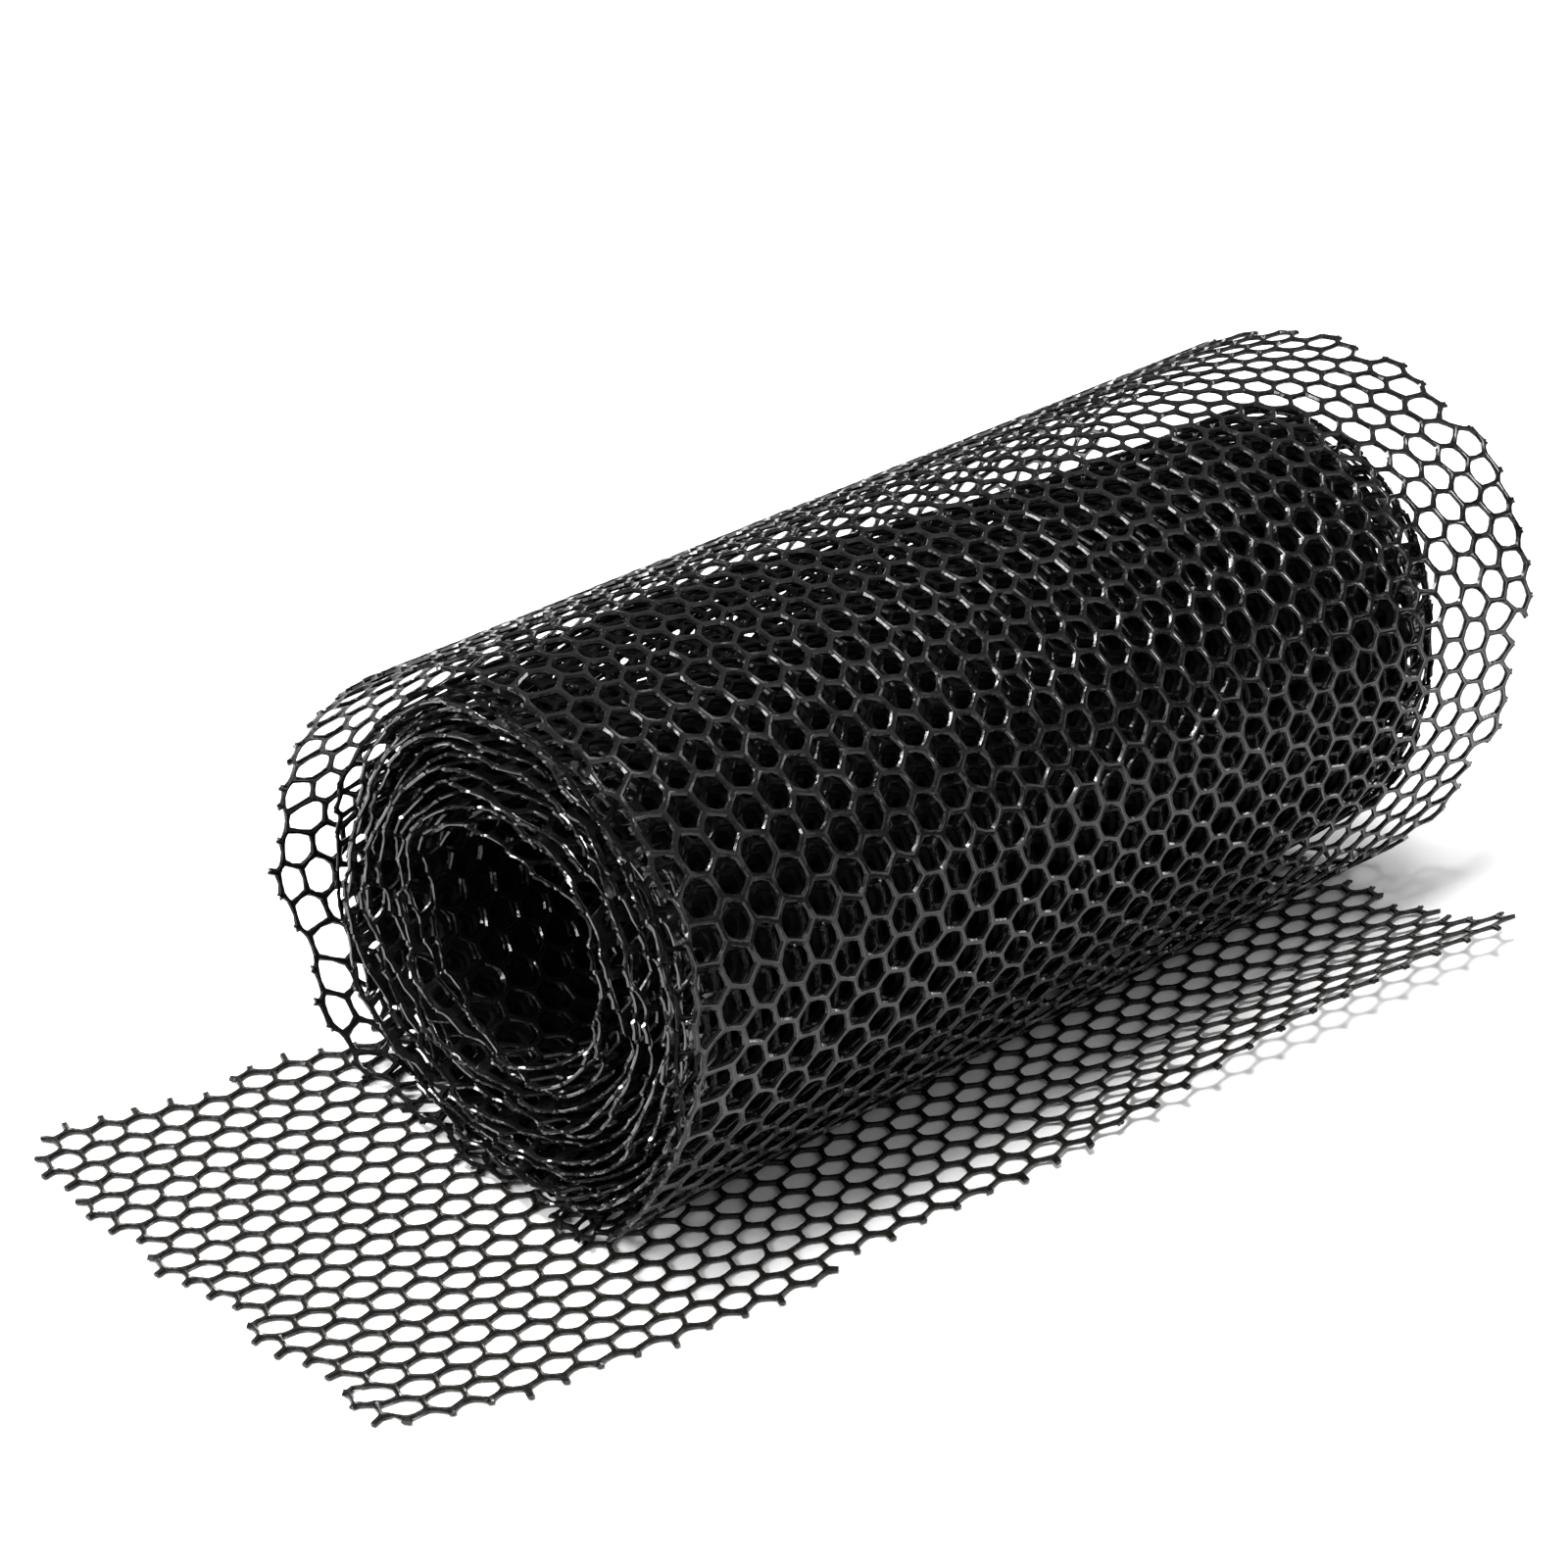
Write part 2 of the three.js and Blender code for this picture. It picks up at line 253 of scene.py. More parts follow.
def netting(cells, place, part_of, seed, sides=2, rings=2, stub=0.4, rim=None, width=STRAND_WIDTH):
    """Points and faces of a sheet of netting.

    cells are lattice cells (i, j), a pitch apart. place(a, row) gives the points of the sheet's
    middle surface and its normals, where a is along a row and row counts the rows. A normal's
    length is how high the strands are there, 1 for full height.
    part_of(a, row) says what the cell there is: WHOLE, OUTSIDE the cut, or a cell that an
    EARLIER or LATER piece has. sides is the number of lengths in the strand between two joints,
    rings the number of strips from its middle line to its side, stub the share of a strand that
    the cut leaves standing on average, and width the strand's, for each cell or for all of them.
    rim(a, row, keys) draws the outermost joints in to a trimmed edge.
    """
    rng = np.random.default_rng(seed)
    kind = part_of(cells[:, 0] + cells[:, 1] / 2, cells[:, 1].astype(float))
    joints, joint_keys, corners, beside_joint = lattice_joints(cells, kind, rim)

    # what lies along each strand: those round the whole cells are this piece's own, and at a
    # joint that the cut passes, the free strands leave a stub
    ends = np.stack([corners, np.roll(corners, -1, axis=1)], axis=-1)
    strand_ends, strands = numbered(np.sort(ends, axis=-1))
    low, high = strand_ends.T
    keys = joint_keys[low] + joint_keys[high]
    beside_strand = kinds_beside(strands, kind, len(strand_ends))
    own = beside_strand[WHOLE] & ~beside_strand[EARLIER]
    tip = beside_joint[WHOLE] & ~beside_joint[EARLIER] & ~beside_joint[LATER]
    stub_length = np.clip(stub * (1 + STUB_SPREAD * scatter(keys, 4)), 0, STUB_RANGE[1])
    free = ~beside_strand[1:].any(axis=0) & (stub_length > STUB_RANGE[0])

    # the middle line of each strand, and how far along it each point is
    along = np.tile(np.arange(1, sides) / sides, (len(strand_ends), 1))
    if sides > 1:
        only_low = free & tip[low] & ~tip[high]
        only_high = free & tip[high] & ~tip[low]
        along[only_low, 0] = stub_length[only_low]
        along[only_high, -1] = 1 - stub_length[only_high]
    middle = np.concatenate([joints, between_joints(joints[low], joints[high], keys, along)])

    # the ring of middle-line points round each cell, and which of its steps are plastic
    ring = np.empty((len(cells), 6, sides), int)
    flare = np.ones(ring.shape)
    kept = np.empty(ring.shape, bool)
    backwards = ends[..., 0] > ends[..., 1]
    ring[..., 0] = corners
    for s in range(1, sides):
        at = np.where(backwards, sides - s, s)
        ring[..., s] = len(joints) + strands * (sides - 1) + at - 1
        flare[..., s] = np.where(free[strands], STUB_FLARE, 1)
    for s in range(sides):
        stubs = (tip[ends[..., 0]] & (s == 0)) | (tip[ends[..., 1]] & (s == sides - 1))
        kept[..., s] = own[strands] | (free[strands] & stubs)
    ring, flare, kept = (v.reshape(len(cells), 6 * sides) for v in (ring, flare, kept))

    # the hole inside it, and the line between them where a strand is highest
    outer = middle[ring]
    centre = joints[corners].mean(axis=1)[:, None]
    uneven = rng.normal(0, HOLE_SPREAD, (len(cells), 1)) + rng.normal(0, WIDTH_SPREAD, ring.shape)
    inset = np.reshape(width, (-1, 1)) / PITCH * (1 + uneven) * flare
    hole = holes_in(outer, centre, inset, sides)
    shoulder = lerp(outer, hole, SHOULDER)

    # heights: a shallow groove along the middle of each strand, fuller at the joints
    half = STRAND_HEIGHT / 2
    full = np.ones(len(middle))
    full[:len(joints)] = JOINT_HEIGHT
    full *= 1 + rng.normal(0, HEIGHT_SPREAD, len(middle))
    groove = GROOVE if rings == 2 else 1.0

    def wrapped(flat, rise):
        spots = flat.reshape(-1, 2)
        points, normals = place(spots[:, 0], spots[:, 1] / ROW)
        return points, normals * np.broadcast_to(rise, flat.shape[:-1]).reshape(-1, 1)

    # the points, and their numbers above and below the sheet, from the middle line to the hole
    point, up = wrapped(middle, half * groove * full)
    parts = [point + up, point - up]
    count = 2 * len(middle)
    grid = np.arange(ring.size).reshape(ring.shape)
    upper = [ring]
    lower = [ring + len(middle)]
    if rings == 2:
        point, up = wrapped(shoulder, half * full[ring])
        parts += [point + up, point - up]
        upper.append(count + grid)
        lower.append(count + ring.size + grid)
        count += 2 * ring.size
    point, up = wrapped(hole, half * rng.normal(0, EDGE_SPREAD, ring.shape))
    parts.append(point + up)
    upper.append(count + grid)
    lower.append(count + grid)
    return np.concatenate(parts), skin(upper, lower, kept)


def add_mesh(name, points, faces, material):
    """A Blender mesh object from points in the part's frame, millimetres, and faces by size."""
    loops = np.concatenate([f.ravel() for f in faces])
    used, loops = np.unique(loops, return_inverse=True)
    sizes = np.concatenate([np.full(len(f), f.shape[1]) for f in faces])
    starts = np.concatenate([[0], np.cumsum(sizes)[:-1]])
    mesh = bpy.data.meshes.new(name)
    mesh.vertices.add(len(used))
    mesh.vertices.foreach_set("co", ((points[used] - ORIGIN) * MM).astype(np.float32).ravel())
    mesh.loops.add(len(loops))
    mesh.loops.foreach_set("vertex_index", loops.astype(np.int32).ravel())
    mesh.polygons.add(len(sizes))
    mesh.polygons.foreach_set("loop_start", starts.astype(np.int32))
    mesh.polygons.foreach_set("use_smooth", np.ones(len(sizes), bool))
    mesh.update(calc_edges=True)
    mesh.validate()
    mesh.set_sharp_from_angle(angle=math.radians(SHARP_FROM))
    mesh.materials.append(material)
    thing = bpy.data.objects.new(name, mesh)
    bpy.context.scene.collection.objects.link(thing)
    return thing


# ---- the laid-out end ----
# Its lattice, as shares of its length from left to right and of its width from back to front.
LAID_START = (0.1285, 0.054)                 # along and across, of pitch 0 in row 0
LAID_PITCH, LAID_GROWTH = 0.0244, 0.00016    # from hole to hole, growing to the right
LAID_SHIFT = 0.0069                          # of a row against the one behind it
LAID_ROW, LAID_CLOSING = 0.0489, 0.00015     # from row to row, closing up to the front
LAID_BEND, LAID_BEND_LOSS = 0.158, 0.0043    # how far a row bends forwards, and less for each row
LAID_BEND_OVER = 16                          # pitches
LAID_FRONT_ROW = 20                          # a row near the front
LAID_ROW_AT_FRONT, LAID_ROW_AT_BACK = 0.043, 0.0465      # from row to row, there and at the back
LAID_CUT_FRONT, LAID_CUT_BACK = -0.6, 0.3    # where in a row the cuts run


def laid_uv(a, row):
    """Place on the laid-out end, in 0..1 along and across, of a point of its lattice."""
    u = LAID_START[0] + LAID_PITCH * a + LAID_GROWTH * a * a - LAID_SHIFT * row
    bend = (LAID_BEND - LAID_BEND_LOSS * row) * np.tanh(a / LAID_BEND_OVER)
    v = LAID_START[1] + LAID_ROW * row - LAID_CLOSING * row ** 2 + bend
    return u, v


def laid_place(a, row):
    """A point of the laid-out end and its normal: flat at the back, curling up at the front."""
    u, v = laid_uv(a, row)
    right = LAID_RIGHT - LAID_SLANT * v - LAID_HOLLOW * np.sin(np.pi * v) - LAID_ROUND * v * v
    x = lerp(LAID_LEFT, right, u)
    t = np.clip((x - LAID_LEFT) / (LAID_RIGHT - LAID_LEFT), 0, 1)
    front = LAID_FRONT_Y - LAID_FRONT_DROP * t ** LAID_FRONT_POWER
    back = LAID_BACK_Y + LAID_BACK_SLOPE * (x - LAID_LEFT)
    y = lerp(back, front, v)
    rise = LAID_LIFT * ramp(x, LAID_LIFT_FROM, LAID_LIFT_TO)
    corner = (x - LAID_CORNER_FROM) / (LAID_RIGHT - LAID_CORNER_FROM)
    rise = rise - LAID_CORNER_DROP * np.maximum(0, corner)
    near = np.clip((front + LAID_CURL - y) / LAID_CURL, 0, 1)
    z = rise * near * near + SHEET / 2
    steep = 2 * rise * near / LAID_CURL          # how fast it climbs towards the front
    normal = unit(np.stack([np.zeros_like(x), steep, np.ones_like(x)], axis=1))
    return np.stack([x, y, z], axis=1), normal


def laid_part(a, row):
    """The cut runs along whole rows at the front and back, and straight across at the ends."""
    u, _ = laid_uv(a, row)
    _, v_front = laid_uv(a, LAID_FRONT_ROW)
    _, v_back = laid_uv(a, 0.0)
    last_row = np.floor(LAID_FRONT_ROW + (1 - v_front) / LAID_ROW_AT_FRONT + LAID_CUT_FRONT)
    first_row = np.ceil(-v_back / LAID_ROW_AT_BACK + LAID_CUT_BACK)
    half_cell = 0.5 * PITCH / (LAID_RIGHT - LAID_LEFT)
    whole = (u > 0.1 * half_cell) & (u < 1 - half_cell) & (row <= last_row) & (row >= first_row)
    return np.where(whole, WHOLE, OUTSIDE)


# ---- the loose outer turn ----
def loose_line(s):
    """Station values at s in 0..1 along the loose turn, on a Catmull-Rom curve."""
    last = len(LOOSE) - 1
    at = np.clip(s, 0, 1) * last
    i = np.minimum(last - 1, np.floor(at)).astype(int)
    f = (at - i)[:, None]
    a, b, c, d = (LOOSE[np.clip(i + k, 0, last)] for k in (-1, 0, 1, 2))
    squared = 2 * a - 5 * b + 4 * c - d
    cubed = 3 * b - a - 3 * c + d
    return 0.5 * (2 * b + (c - a) * f + squared * f ** 2 + cubed * f ** 3)


def loose_yz(s, x):
    """The middle of the turn's sheet, at s round it and a distance x along the roll."""
    y_near, z_near, y_far, z_far, x_near, x_far = loose_line(s).T
    t = (x - x_near) / (x_far - x_near)
    return lerp(y_near, y_far, t), np.maximum(LYING_Z, lerp(z_near, z_far, t))


def lengths_along(y, z):
    """Length of a line from its start to each of its points."""
    return np.concatenate([[0], np.cumsum(np.hypot(np.diff(y), np.diff(z)))])


LOOSE_S = np.linspace(0, 1, 1500)
LOOSE_MIDDLE = loose_yz(LOOSE_S, np.full(len(LOOSE_S), ROLL_LENGTH / 2))
LOOSE_ARC = lengths_along(*LOOSE_MIDDLE)

# Its lattice: rows that run along the roll and climb, and columns that lean as they go round.
LOOSE_START = (103.8, 190.8)                 # along the roll and round it, of column 0 in row 0
LOOSE_PITCH = 11.73                          # from column to column, along the roll
LOOSE_LEAN, LOOSE_LEAN_GROWTH = 3.8, 0.194   # of a column from row to row, growing with the rows
BENDING_ROWS = (-12, 6.5)                    # the first and last row with that growth
LOOSE_ROW, LOOSE_CLOSING = 11.45, 0.048      # from row to row, round the roll, closing up
LOOSE_CLIMB, LOOSE_CLIMB_GROWTH = 2.1, 0.0096    # of a row from column to column, growing
LOOSE_TWIST = 0.044                          # less climb for each row
LOOSE_TRIM = (0.65, 0.3)                     # how far the near and far edge are drawn in
LOOSE_NUB = 0.4                              # how uneven they stay
LOOSE_BEYOND = 410.0                         # along the roll, past all of its far edge
SLOPE_STEP = 0.004                           # share of the turn over which a slope is measured


def loose_xs(a, row):
    """Distance along the roll, and arc round it from the turn's start, of a point of its lattice."""
    i = a - row / 2
    bend = np.clip(row, *BENDING_ROWS)
    lean = LOOSE_LEAN + 2 * LOOSE_LEAN_GROWTH * bend
    x = (LOOSE_START[0] + LOOSE_PITCH * i + LOOSE_LEAN * bend + LOOSE_LEAN_GROWTH * bend ** 2
         + lean * (row - bend))
    arc = (LOOSE_START[1] + LOOSE_ROW * row + LOOSE_CLIMB * i + LOOSE_CLIMB_GROWTH * i * i
           - LOOSE_TWIST * i * bend - LOOSE_CLOSING * bend ** 2)
    return x, arc


def loose_place(a, row):
    """A point of the loose turn and its normal."""
    x, arc = loose_xs(a, row)
    s = np.interp(arc, LOOSE_ARC, LOOSE_S)
    y, z = loose_yz(s, x)
    y0, z0 = loose_yz(np.maximum(0, s - SLOPE_STEP), x)
    y1, z1 = loose_yz(np.minimum(1, s + SLOPE_STEP), x)
    normal = unit(np.stack([np.zeros_like(x), z0 - z1, y1 - y0], axis=1))
    return np.stack([x, y, z], axis=1), normal


def loose_edges(arc):
    """How far along the roll the turn's near and far edges run, at an arc from its start."""
    _, _, _, _, near, far = loose_line(np.interp(arc, LOOSE_ARC, LOOSE_S)).T
    return near, far


def loose_part(a, row):
    """The cut runs along the turn's two edges, and straight across at its two ends."""
    x, arc = loose_xs(a, row)
    near, far = loose_edges(arc)
    margin = CUT_MARGIN * PITCH
    along = (x > near + 0.1 * PITCH) & (x < far - margin)
    whole = along & (arc > margin) & (arc < LOOSE_ARC[-1] - margin)
    return np.where(whole, WHOLE, OUTSIDE)


def loose_rim(a, row, keys):
    """The turn's near edge is trimmed nearly straight; its far edge keeps more of its zigzag."""
    x, arc = loose_xs(a, row)
    near, far = loose_edges(arc)
    nub = LOOSE_NUB * scatter(keys, 5)
    reach = RIM_REACH * PITCH
    draw = np.where(np.abs(x - near) < reach, LOOSE_TRIM[0] * (near + nub - x), 0)
    draw = np.where(np.abs(x - far) < reach, LOOSE_TRIM[1] * (far + nub - x), draw)
    return a + draw / PITCH, row


# ---- the wound roll ----
def rad(deg):
    return np.radians(deg)


def roll_outside(deg, t):
    """The roll's outside, where t is 0 at the near face and 1 at the far face."""
    radius = (lerp(ROLL_RADIUS[0], ROLL_RADIUS[1], t)
              + ROLL_OVAL[0] * np.cos(2 * rad(deg - ROLL_OVAL[1]))
              + ROLL_LOBE[0] * np.cos(rad(3 * deg + ROLL_LOBE[1])))
    y = ROLL_SHIFT_FAR * t + radius * np.cos(rad(deg))
    z = ROLL_AXIS_Z + radius * np.sin(rad(deg))
    return y, np.maximum(z, FLAT_SPOT_Z)


def roll_inside(deg, t):
    """The wall of its eye."""
    radius = (EYE_RADIUS + EYE_OVAL[0] * np.cos(2 * rad(deg - EYE_OVAL[1]))
              + EYE_LOBE * np.sin(3 * rad(deg) + 3 * t))
    y = EYE_CENTRE[0] + EYE_SHIFT_FAR[0] * t + radius * np.cos(rad(deg))
    z = EYE_CENTRE[1] + EYE_SHIFT_FAR[1] * t + radius * np.sin(rad(deg))
    return y, z


def loosened(deg, part, t):
    """How far the turns stand off from the tight roll at its back.

    deg is the angle round the roll, part how far out a turn is, from 0 in the eye to 1 outside,
    and t how far along the roll. At the near end all the turns are loose. Further along only
    the outermost are, and the roll inside them is slack on top.
    """
    round_back = (deg + 180) % 360 - 180
    at_back = ramp(round_back, 95, 60) * ramp(round_back, -85, -25)
    outermost = ramp(part, 0.8, 0.95)
    loose = lerp(np.clip(part, 0, 1), outermost, ramp(t, 0, 0.3))
    on_top = ramp(round_back, 110, 80) * ramp(round_back, -10, 30)
    inside = ramp(t, 0, 0.2) * ramp(t, 1, 0.88) * ramp(part, 0, 0.85) * (1 - outermost)
    return LOOSENED * at_back * loose * ramp(t, 0.9, 0.25) - SLACK * on_top * inside


def roll_yz(angle, t):
    """A point of the wound web, at an angle walked from its outer end inwards."""
    deg = OUTER_END + 360 - angle
    part = 1 - angle / (360 * TURNS)
    ripple = sum(deep * np.sin(waves * rad(angle) + shift * t) for deep, waves, shift in RIPPLES)
    calmer_at_ends = np.minimum(1, 4 * np.minimum(part, 1 - part) + 0.3)
    part = lerp(INMOST, OUTMOST, part) + ripple * calmer_at_ends
    tight = lerp(PACKING[0], PACKING[1], ramp(t, 0, 0.3))
    depth = 1 - part
    part = 1 - depth * (tight + (1 - tight) * (depth / (1 - INMOST)) ** 2)
    y0, z0 = roll_inside(deg, t)
    y1, z1 = roll_outside(deg, t)
    off = loosened(deg, part, t)
    return lerp(y0, y1, part) + off * np.cos(rad(deg)), lerp(z0, z1, part) + off * np.sin(rad(deg))


ROLL_ANGLES = np.linspace(0, 360 * TURNS, 6000)
ROLL_MIDDLE = roll_yz(ROLL_ANGLES, 0.5)
ROLL_ARC = lengths_along(*ROLL_MIDDLE)
ANGLE_STEP = 0.5                             # degrees to each side where a slope is measured


def web_length(turns):
    """Length of the web from its outer end, over a number of turns."""
    return np.interp(360 * turns, ROLL_ANGLES, ROLL_ARC)


# How far along the web the outermost turn ends, the sixth ends and the eye's two turns start.
FIRST_TURN, MIDDLE_TURN, LAST_TURNS = web_length(1), web_length(6), web_length(TURNS - 2)


def roll_xs(a, row):
    """Distance along the roll, and along the web from its outer end, of a point of its lattice."""
    turn = math.radians(ROW_RISE)
    across = row * ROW
    x = PITCH * (a * math.cos(turn) - across * math.sin(turn))
    arc = PITCH * (a * math.sin(turn) + across * math.cos(turn))
    return x, arc


def roll_place(a, row):
    """A point of the wound web and its normal, which is shorter where the strands are lower."""
    x, arc = roll_xs(a, row)
    angle = np.interp(arc, ROLL_ARC, ROLL_ANGLES)
    t = x / ROLL_LENGTH
    y, z = roll_yz(angle, t)
    y0, z0 = roll_yz(angle - ANGLE_STEP, t)
    y1, z1 = roll_yz(angle + ANGLE_STEP, t)
    normal = unit(np.stack([np.zeros_like(x), z0 - z1, y1 - y0], axis=1))
    height = lerp(RIM_HEIGHT, 1, from_near_rim(x, arc))
    return np.stack([x, y, z], axis=1), normal * height[:, None]


def roll_edges(arc):
    """How far along the roll the web's near and far edges run, at a length of arc along it."""
    angle = rad(np.interp(arc, ROLL_ARC, ROLL_ANGLES))
    near = sum((deep * np.sin(waves * angle + start) for deep, waves, start in NEAR_WAVES), NEAR_TRIM)
    near = near - LAP * np.exp(-((angle - rad(LAP_AT)) / rad(LAP_WIDTH)) ** 2)
    far = sum((deep * np.sin(waves * angle + start) for deep, waves, start in FAR_WAVES), FAR_TRIM)
    return near, ROLL_LENGTH - far


def from_near_rim(x, arc):
    """0 at the web's near edge, and 1 from where the strands have their full size."""
    near, _ = roll_edges(arc)
    return ramp(x - near, 0, RIM_DEPTH)


def roll_rim(a, row, keys):
    """The web is trimmed nearly straight, so that its edge is one rim with small nubs."""
    x, arc = roll_xs(a, row)
    near, far = roll_edges(arc)
    nub = RIM_NUB * scatter(keys, 5)
    reach = RIM_REACH * PITCH
    x = np.where(np.abs(x - near) < reach, near + nub + RIM_SLACK * (x - near), x)
    x = np.where(np.abs(x - far) < reach, far + nub + RIM_SLACK * (x - far), x)
    turn = math.radians(ROW_RISE)
    across = (arc * math.cos(turn) - x * math.sin(turn)) / PITCH
    return (x * math.cos(turn) + arc * math.sin(turn)) / PITCH, across / ROW


def piece_number(x, arc):
    """The piece of the web a cell is in, counted as in ROLL_PIECES."""
    number = np.where(arc < MIDDLE_TURN, 3, 4)
    number = np.where(x < FACE_DEPTH, 1, np.where(x > ROLL_LENGTH - FACE_DEPTH, 2, number))
    return np.where(arc < FIRST_TURN, 0, np.where(arc < LAST_TURNS, number, 5))


def roll_part(own):
    """What each cell is to one piece of the web."""
    def part_of(a, row):
        x, arc = roll_xs(a, row)
        near, far = roll_edges(arc)
        margin = CUT_MARGIN * PITCH
        web = (x > near) & (x < far) & (arc > margin) & (arc < ROLL_ARC[-1] - margin)
        number = piece_number(x, arc)
        place = np.where(number < own, EARLIER, np.where(number == own, WHOLE, LATER))
        return np.where(web, place, OUTSIDE)
    return part_of


# ---- materials ----
SHINY_ENDS = (16.0, 8.0)                     # how deep in the roll the faces' shine starts and is full


def nodes_of(material):
    """A material's nodes, its links and its shader."""
    material.use_nodes = True
    tree = material.node_tree
    return tree.nodes, tree.links, tree.nodes["Principled BSDF"]


def add_noise(nodes, links, place, scale, detail):
    """A noise over the object's own coordinates."""
    noise = nodes.new("ShaderNodeTexNoise")
    noise.inputs["Scale"].default_value = scale
    noise.inputs["Detail"].default_value = detail
    links.new(place.outputs["Object"], noise.inputs["Vector"])
    return noise.outputs["Fac"]


def add_range(nodes, links, value, before, after):
    """The value taken from one range to another, and held at the ends of it."""
    spread = nodes.new("ShaderNodeMapRange")
    spread.inputs["From Min"].default_value = before[0]
    spread.inputs["From Max"].default_value = before[1]
    spread.inputs["To Min"].default_value = after[0]
    spread.inputs["To Max"].default_value = after[1]
    links.new(value, spread.inputs["Value"])
    return spread.outputs["Result"]


def add_from_middle(nodes, links, place):
    """How far along the roll a point is from the roll's middle, to either side."""
    along = nodes.new("ShaderNodeSeparateXYZ")
    links.new(place.outputs["Object"], along.inputs["Vector"])
    off = nodes.new("ShaderNodeMath")
    off.operation = "SUBTRACT"
    off.inputs[1].default_value = (ROLL_LENGTH / 2 - ORIGIN[0]) * MM
    links.new(along.outputs["X"], off.inputs[0])
    size = nodes.new("ShaderNodeMath")
    size.operation = "ABSOLUTE"
    links.new(off.outputs["Value"], size.inputs[0])
    return size.outputs["Value"]


def netting_plastic(name, dark, light, roughness, shine, ends_shine=None):
    """Extruded black plastic: near-black, a little uneven in colour and gloss, with fine lumps.

    shine is the specular level, and ends_shine the level on the roll's two faces, where the
    trimmed edges catch the light.
    """
    material = bpy.data.materials.new(name)
    nodes, links, shader = nodes_of(material)
    place = nodes.new("ShaderNodeTexCoord")

    shade = nodes.new("ShaderNodeMix")
    shade.data_type = "RGBA"
    shade.inputs["A"].default_value = dark
    shade.inputs["B"].default_value = light
    links.new(add_noise(nodes, links, place, 260, 4), shade.inputs["Factor"])
    links.new(shade.outputs["Result"], shader.inputs["Base Color"])

    gloss = add_noise(nodes, links, place, 700, 3)
    links.new(add_range(nodes, links, gloss, (0.3, 0.7), roughness), shader.inputs["Roughness"])

    shader.inputs["Specular IOR Level"].default_value = shine
    if ends_shine:
        from_middle = add_from_middle(nodes, links, place)
        faces = [(ROLL_LENGTH / 2 - depth) * MM for depth in SHINY_ENDS]
        level = add_range(nodes, links, from_middle, faces, (shine, ends_shine))
        links.new(level, shader.inputs["Specular IOR Level"])

    bump = nodes.new("ShaderNodeBump")
    bump.inputs["Strength"].default_value = 0.35
    bump.inputs["Distance"].default_value = 0.0005
    links.new(add_noise(nodes, links, place, 350, 1), bump.inputs["Height"])
    links.new(bump.outputs["Normal"], shader.inputs["Normal"])
    return material


def floor_paper():
    """White paper that glows a little far from the object, so that it stays white there."""
    material = bpy.data.materials.new("pale_floor")
    nodes, links, shader = nodes_of(material)
    shader.inputs["Base Color"].default_value = (0.8, 0.8, 0.8, 1)
    shader.inputs["Roughness"].default_value = 0.9
    shader.inputs["Specular IOR Level"].default_value = 0.0
    shader.inputs["Emission Color"].default_value = (1, 1, 1, 1)
    place = nodes.new("ShaderNodeTexCoord")
    away = nodes.new("ShaderNodeVectorMath")
    away.operation = "LENGTH"
    links.new(place.outputs["Object"], away.inputs[0])
    glow = add_range(nodes, links, away.outputs["Value"], (0.3, 1.2), (0.0, 0.5))
    links.new(glow, shader.inputs["Emission Strength"])
    return material


# The same plastic in five places, darker where the turns outside it shade it.
outer_plastic = netting_plastic("roll_netting", (0.001, 0.001, 0.001, 1), (0.004, 0.004, 0.004, 1),
                                roughness=(0.04, 0.2), shine=0.05)
roll_plastic = netting_plastic("roll_netting", (0.003, 0.003, 0.003, 1), (0.008, 0.008, 0.008, 1),
                               roughness=(0.05, 0.25), shine=0.001, ends_shine=1.0)
eye_plastic = netting_plastic("eye_netting", (0.001, 0.001, 0.001, 1), (0.004, 0.004, 0.004, 1),
                              roughness=(0.05, 0.25), shine=0.3, ends_shine=1.0)
turn_plastic = netting_plastic("turn_netting", (0.002, 0.002, 0.002, 1), (0.008, 0.008, 0.008, 1),
                               roughness=(0.04, 0.3), shine=0.26)
flat_plastic = netting_plastic("flat_netting", (0.003, 0.0025, 0.002, 1), (0.012, 0.01, 0.008, 1),
                               roughness=(0.15, 0.4), shine=0.4)


def build_laid():
    """The laid-out end, in one mesh."""
    cells = cells_between(rows=(-6, 24), across=(-10, 42))
    points, faces = netting(cells, laid_place, laid_part, seed=11, sides=3, rings=2, stub=0.55,
                            width=FLAT_WIDTH)
    thing = add_mesh("laid_out_netting", points, faces, flat_plastic)
    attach(thing, "root")
    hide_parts("laid_out_end")
    return thing


def build_loose():
    """The loose outer turn, in one mesh."""
    cells = cells_between(rows=(-26, 48), across=(-40, 52))
    x, arc = loose_xs(cells[:, 0] + cells[:, 1] / 2, cells[:, 1].astype(float))
    spare = 20
    here = (x > -spare) & (x < LOOSE_BEYOND) & (arc > -spare) & (arc < LOOSE_ARC[-1] + spare)
    points, faces = netting(cells[here], loose_place, loose_part, seed=12, sides=2, rings=2,
                            stub=0.22, rim=loose_rim)
    thing = add_mesh("loose_turn_netting", points, faces, turn_plastic)
    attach(thing, "root")
    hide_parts("loose_outer_turn")
    return thing


# The roll's web in pieces: name, sides and rings as netting() takes them, and plastic.
ROLL_PIECES = [
    ("outer_turn", 2, 2, outer_plastic),
    ("near_face", 2, 2, roll_plastic),
    ("far_face", 2, 1, roll_plastic),
    ("turns_1", 1, 1, roll_plastic),
    ("turns_2", 1, 1, roll_plastic),
    ("inner_turns", 2, 2, eye_plastic),
]


